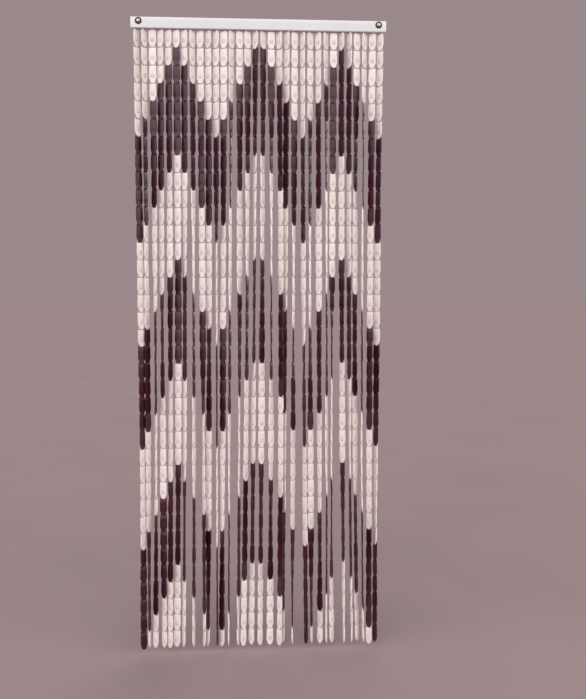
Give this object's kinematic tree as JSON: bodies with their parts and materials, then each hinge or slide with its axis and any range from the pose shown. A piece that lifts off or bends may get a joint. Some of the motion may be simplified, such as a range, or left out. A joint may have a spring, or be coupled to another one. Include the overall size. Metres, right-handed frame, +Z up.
{
  "type": "insect door curtain with its rail",
  "caption": "Door curtain of hanging strands of flat moulded links in an ivory and burgundy-brown zigzag, with the slotted rail that carries them and its wall fixings.",
  "frame": {"origin": "centre of the rail's back face, which lies against the wall or door frame", "axes": "+Z up, +Y into the wall, +X to the right of someone who looks at the curtain's front"},
  "size_m": [0.834, 0.0508, 2.0988],
  "materials": {
    "aluminium": "satin",
    "link_plastic": "glossy ivory and burgundy-brown links",
    "dark_plastic": "satin"
  },
  "bodies": {
    "root": {"rail": "aluminium", "strands_left": "link_plastic", "strands_right": "link_plastic", "fixing_left": "dark_plastic", "fixing_right": "dark_plastic"}
  },
  "joints": []
}
